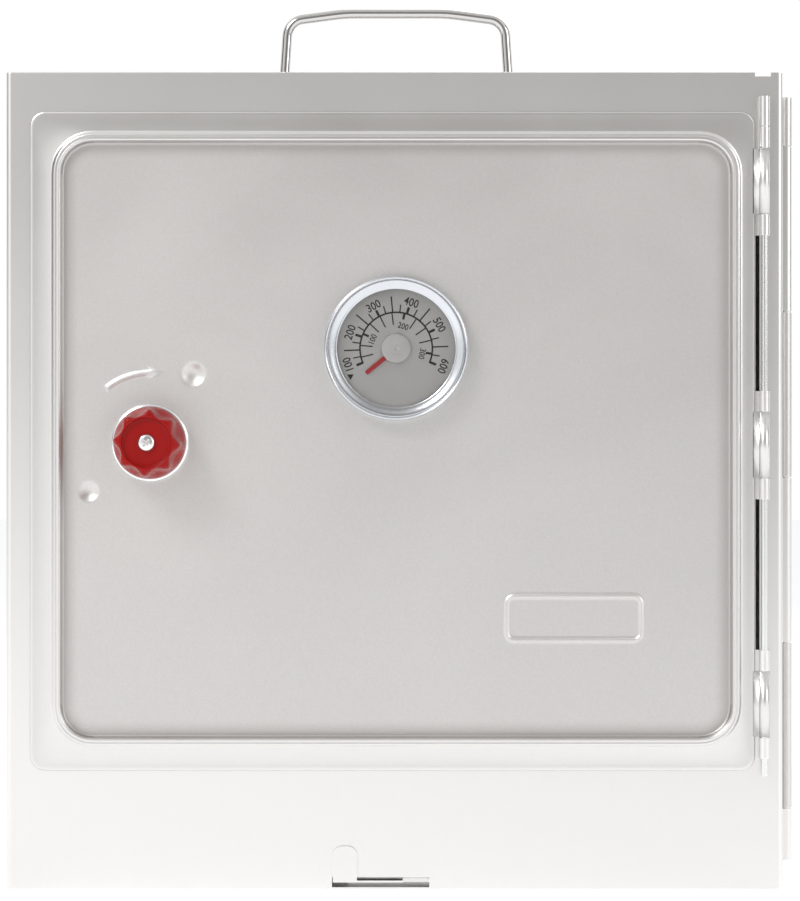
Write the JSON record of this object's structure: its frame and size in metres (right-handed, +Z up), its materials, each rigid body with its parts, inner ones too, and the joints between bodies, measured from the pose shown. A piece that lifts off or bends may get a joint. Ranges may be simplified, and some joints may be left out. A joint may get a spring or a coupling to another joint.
{
  "type": "folding camp oven",
  "caption": "Sheet-steel camp oven with a thermometer door that folds flat behind its front frame.",
  "frame": {"origin": "middle of the front frame's foot flange, on the ground", "axes": "+X right seen from the door side, +Y from the door to the back, +Z up"},
  "size_m": [0.3167, 0.3152, 0.3462],
  "materials": {
    "aluminised_sheet": "aluminised steel sheet, fine matt spangle",
    "plated_steel": "plated steel strip",
    "zinc_hardware": "bright zinc",
    "chrome_wire": "bright chrome wire",
    "turned_aluminium": "turned and brushed aluminium",
    "lens_glass": "clear flat glass",
    "dial_paint": "satin silver-grey dial, dark print",
    "pointer_red": "matt red",
    "knob_red": "glossy moulded red plastic",
    "coil_brass": "bimetal strip"
  },
  "bodies": {
    "front": {"front_frame": "aluminised_sheet", "door_hinge_wire": "zinc_hardware", "left_corner_wire": "zinc_hardware", "right_corner_wire": "zinc_hardware", "handle_brackets": "aluminised_sheet", "handle_rivets": "zinc_hardware", "lock_guides": "aluminised_sheet", "roof_hinge_wire": "zinc_hardware", "floor_hinge_wire": "zinc_hardware"},
    "door": {"door_panel": "aluminised_sheet", "thermometer_bezel": "turned_aluminium", "thermometer_lens": "lens_glass", "thermometer_dial": "dial_paint", "thermometer_case": "plated_steel", "thermometer_clip": "plated_steel", "bimetal_coil": "coil_brass", "knob_ring": "turned_aluminium", "latch_spring": "plated_steel"},
    "latch": {"knob": "knob_red", "latch_shaft": "zinc_hardware", "knob_screw": "zinc_hardware", "latch_arm": "zinc_hardware", "latch_nut": "zinc_hardware"},
    "pointer": {"pointer_hub": "turned_aluminium", "pointer": "pointer_red"},
    "handle": {"handle": "chrome_wire"},
    "lock": {"floor_lock": "aluminised_sheet"},
    "left_front": {"left_front_wall": "aluminised_sheet", "left_front_ledge": "plated_steel", "left_crease_wire": "zinc_hardware"},
    "left_rear": {"left_rear_wall": "aluminised_sheet", "left_rear_ledge": "plated_steel"},
    "back": {"back_panel": "aluminised_sheet", "left_back_wire": "zinc_hardware", "right_back_wire": "zinc_hardware", "rack_hooks": "plated_steel", "rack_clip": "plated_steel"},
    "right_front": {"right_front_wall": "aluminised_sheet", "right_front_ledge": "plated_steel", "right_crease_wire": "zinc_hardware"},
    "right_rear": {"right_rear_wall": "aluminised_sheet", "right_rear_ledge": "plated_steel"},
    "rack": {"rack_frame": "chrome_wire", "rack_wires": "chrome_wire"},
    "roof": {"roof_panel": "aluminised_sheet"},
    "floor": {"floor_panel": "aluminised_sheet", "heat_baffle": "aluminised_sheet", "baffle_spacers": "zinc_hardware"}
  },
  "joints": [
    {"name": "wall_fold", "type": "hinge", "parent": "front", "child": "left_front", "pos_m": [-0.1503, 0.02275, 0.16], "axis": [0, 0, -1], "range_deg": [0, 90]},
    {"name": "left_crease", "type": "hinge", "parent": "left_front", "child": "left_rear", "pos_m": [-0.1528, 0.14325, 0.16], "axis": [0, 0, -1], "range_deg": [-180, 0]},
    {"name": "back_corner", "type": "hinge", "parent": "left_rear", "child": "back", "pos_m": [-0.1503, 0.26375, 0.16], "axis": [0, 0, -1], "range_deg": [0, 90]},
    {"name": "right_corner", "type": "hinge", "parent": "front", "child": "right_front", "pos_m": [0.157, 0.02275, 0.16], "axis": [0, 0, 1], "range_deg": [0, 90]},
    {"name": "right_crease", "type": "hinge", "parent": "right_front", "child": "right_rear", "pos_m": [0.1595, 0.14325, 0.16], "axis": [0, 0, 1], "range_deg": [-180, 0]},
    {"name": "roof_fold", "type": "hinge", "parent": "front", "child": "roof", "pos_m": [0, 0.00475, 0.313], "axis": [-1, 0, 0], "range_deg": [0, 90]},
    {"name": "floor_fold", "type": "hinge", "parent": "front", "child": "floor", "pos_m": [0, 0.01075, 0.0045], "axis": [1, 0, 0], "range_deg": [0, 90]},
    {"name": "rack_fold", "type": "hinge", "parent": "back", "child": "rack", "pos_m": [0, 0.27575, 0.066], "axis": [-1, 0, 0], "range_deg": [-90, 0]},
    {"name": "door_swing", "type": "hinge", "parent": "front", "child": "door", "pos_m": [0.145, -0.01165, 0.178], "axis": [0, 0, -1], "range_deg": [-115, 0]},
    {"name": "latch_turn", "type": "hinge", "parent": "door", "child": "latch", "pos_m": [-0.0958, -0.00925, 0.1751], "axis": [0, 1, 0], "range_deg": [-123, 0]},
    {"name": "pointer_turn", "type": "hinge", "parent": "door", "child": "pointer", "pos_m": [0.0007, -0.00925, 0.2121], "axis": [0, 1, 0], "range_deg": [0, 242]},
    {"name": "handle_fold", "type": "hinge", "parent": "front", "child": "handle", "pos_m": [0, -0.00175, 0.31825], "axis": [-1, 0, 0], "range_deg": [0, 90]},
    {"name": "lock_slide", "type": "slide", "parent": "front", "child": "lock", "axis": [1, 0, 0], "range_m": [0, 0.01]}
  ],
  "couplings": [
    {"joint": "left_crease", "follows": "wall_fold", "ratio": -2},
    {"joint": "back_corner", "follows": "wall_fold", "ratio": 1},
    {"joint": "right_corner", "follows": "wall_fold", "ratio": 1},
    {"joint": "right_crease", "follows": "wall_fold", "ratio": -2}
  ]
}
